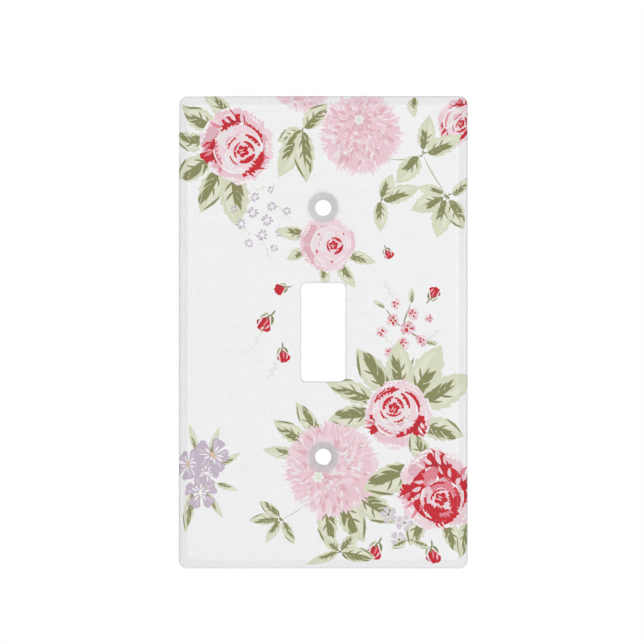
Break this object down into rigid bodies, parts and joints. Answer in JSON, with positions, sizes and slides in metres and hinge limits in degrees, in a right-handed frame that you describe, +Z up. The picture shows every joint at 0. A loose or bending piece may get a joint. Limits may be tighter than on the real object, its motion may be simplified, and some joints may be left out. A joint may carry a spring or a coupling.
{
  "type": "wall plate",
  "caption": "Upright toggle switch wall plate with a bevelled edge, countersunk screw holes, a ribbed hollow back and a printed film over its front.",
  "frame": {"origin": "centre of the plate's outline on the wall plane that its rim lies on", "axes": "+Z up the plate as it is installed, +Y into the wall, so the printed front faces -Y; +X to the right of someone facing the front"},
  "size_m": [0.0698, 0.0056, 0.1142],
  "materials": {
    "moulded_plastic": "white moulded thermoplastic, satin gloss, smoother in front than behind",
    "printed_film": "glossy printed film, off-white ground with pink and red roses, pale green leaves and lilac blossoms"
  },
  "bodies": {
    "root": {"plate_shell": "moulded_plastic", "print_film": "printed_film"}
  },
  "joints": []
}
